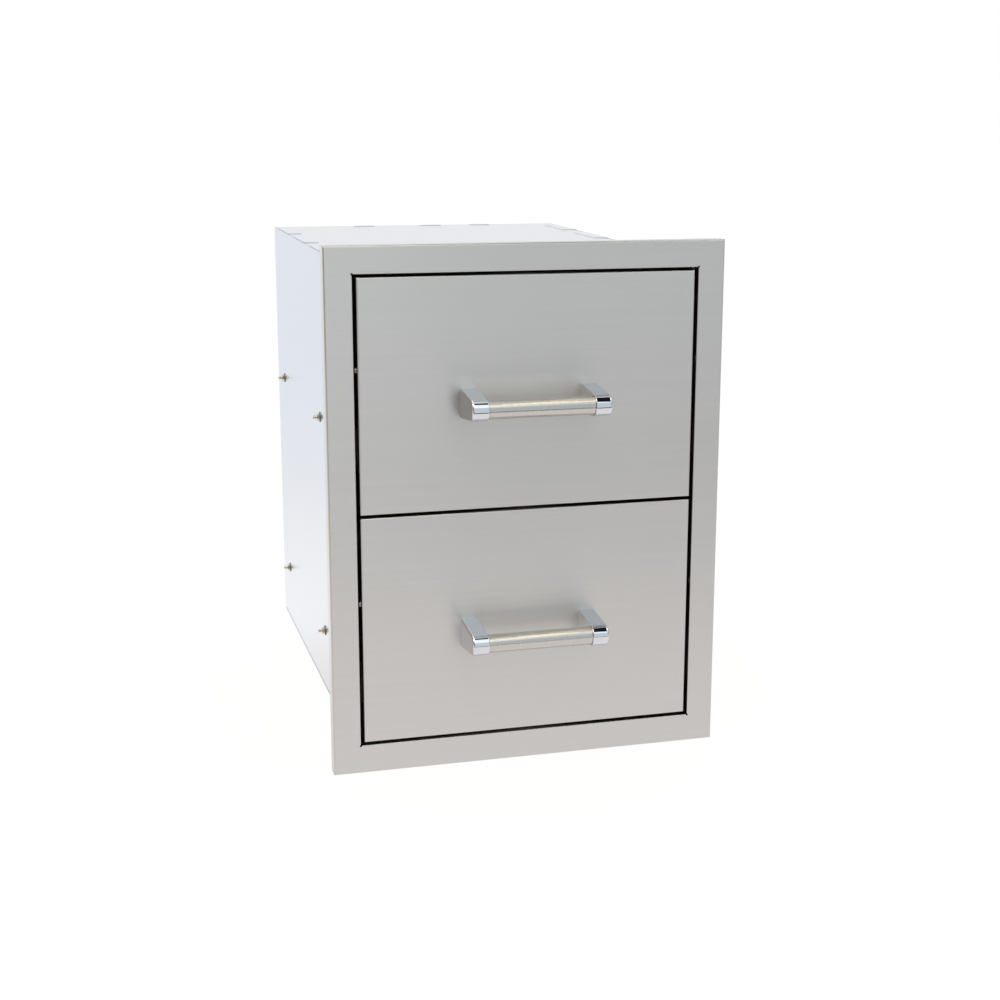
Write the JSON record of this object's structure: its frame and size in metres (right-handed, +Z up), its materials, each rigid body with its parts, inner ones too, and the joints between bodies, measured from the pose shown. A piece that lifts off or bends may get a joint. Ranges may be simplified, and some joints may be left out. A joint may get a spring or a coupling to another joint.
{
  "type": "double drawer unit",
  "caption": "Built-in outdoor-kitchen drawer unit: a stainless face frame on a sheet housing, with equal stacked drawers that pull out on full-extension ball-bearing slides.",
  "frame": {"origin": "middle of the housing's underside, in the plane of the wall's face where the frame's lip ends", "axes": "+X to the right seen from the front, +Y back into the wall, +Z up"},
  "size_m": [0.4444, 0.6365, 0.58],
  "materials": {
    "face_steel": "fine horizontal brush",
    "post_chrome": "polished chrome plate",
    "tube_satin": "satin, brushed round the tube",
    "housing_steel": "mill finish, pale",
    "slide_zinc": "bright zinc plate",
    "fastener_steel": "nickel plate",
    "ball_steel": "polished",
    "bumper_plastic": "moulded"
  },
  "bodies": {
    "housing": {"front_frame": "face_steel", "housing_left_side": "housing_steel", "housing_right_side": "housing_steel", "housing_top": "housing_steel", "housing_bottom": "housing_steel", "housing_back": "housing_steel", "slide_bolts": "fastener_steel", "slide_washers": "fastener_steel", "slide_nuts": "fastener_steel", "slide_bumpers": "bumper_plastic", "lower_left_slide_outer": "slide_zinc", "lower_right_slide_outer": "slide_zinc", "upper_left_slide_outer": "slide_zinc", "upper_right_slide_outer": "slide_zinc"},
    "lower_drawer": {"lower_drawer_front": "face_steel", "lower_front_liner": "housing_steel", "lower_front_screws": "fastener_steel", "lower_tray": "housing_steel", "lower_tray_back": "housing_steel", "lower_left_slide_inner": "slide_zinc", "lower_right_slide_inner": "slide_zinc", "lower_slide_rivets": "fastener_steel", "lower_handle_bar": "tube_satin", "lower_handle_left_post": "post_chrome", "lower_handle_right_post": "post_chrome", "lower_handle_screws": "fastener_steel"},
    "lower_slide_middles": {"lower_left_slide_middle": "slide_zinc", "lower_right_slide_middle": "slide_zinc"},
    "lower_outer_cages": {"lower_outer_ball_cages": "slide_zinc", "lower_outer_balls": "ball_steel"},
    "lower_inner_cages": {"lower_inner_ball_cages": "slide_zinc", "lower_inner_balls": "ball_steel"},
    "upper_drawer": {"upper_drawer_front": "face_steel", "upper_front_liner": "housing_steel", "upper_front_screws": "fastener_steel", "upper_tray": "housing_steel", "upper_tray_back": "housing_steel", "upper_left_slide_inner": "slide_zinc", "upper_right_slide_inner": "slide_zinc", "upper_slide_rivets": "fastener_steel", "upper_handle_bar": "tube_satin", "upper_handle_left_post": "post_chrome", "upper_handle_right_post": "post_chrome", "upper_handle_screws": "fastener_steel"},
    "upper_slide_middles": {"upper_left_slide_middle": "slide_zinc", "upper_right_slide_middle": "slide_zinc"},
    "upper_outer_cages": {"upper_outer_ball_cages": "slide_zinc", "upper_outer_balls": "ball_steel"},
    "upper_inner_cages": {"upper_inner_ball_cages": "slide_zinc", "upper_inner_balls": "ball_steel"}
  },
  "joints": [
    {"name": "lower_drawer_slide", "type": "slide", "parent": "housing", "child": "lower_drawer", "axis": [0, -1, 0], "range_m": [0, 0.53]},
    {"name": "lower_slide_middles_run", "type": "slide", "parent": "housing", "child": "lower_slide_middles", "axis": [0, -1, 0], "range_m": [0, 0.265]},
    {"name": "lower_outer_cages_run", "type": "slide", "parent": "housing", "child": "lower_outer_cages", "axis": [0, -1, 0], "range_m": [0, 0.1325]},
    {"name": "lower_inner_cages_run", "type": "slide", "parent": "housing", "child": "lower_inner_cages", "axis": [0, -1, 0], "range_m": [0, 0.3975]},
    {"name": "upper_drawer_slide", "type": "slide", "parent": "housing", "child": "upper_drawer", "axis": [0, -1, 0], "range_m": [0, 0.53]},
    {"name": "upper_slide_middles_run", "type": "slide", "parent": "housing", "child": "upper_slide_middles", "axis": [0, -1, 0], "range_m": [0, 0.265]},
    {"name": "upper_outer_cages_run", "type": "slide", "parent": "housing", "child": "upper_outer_cages", "axis": [0, -1, 0], "range_m": [0, 0.1325]},
    {"name": "upper_inner_cages_run", "type": "slide", "parent": "housing", "child": "upper_inner_cages", "axis": [0, -1, 0], "range_m": [0, 0.3975]}
  ],
  "couplings": [
    {"joint": "lower_slide_middles_run", "follows": "lower_drawer_slide", "ratio": 0.5},
    {"joint": "lower_outer_cages_run", "follows": "lower_drawer_slide", "ratio": 0.25},
    {"joint": "lower_inner_cages_run", "follows": "lower_drawer_slide", "ratio": 0.75},
    {"joint": "upper_slide_middles_run", "follows": "upper_drawer_slide", "ratio": 0.5},
    {"joint": "upper_outer_cages_run", "follows": "upper_drawer_slide", "ratio": 0.25},
    {"joint": "upper_inner_cages_run", "follows": "upper_drawer_slide", "ratio": 0.75}
  ]
}
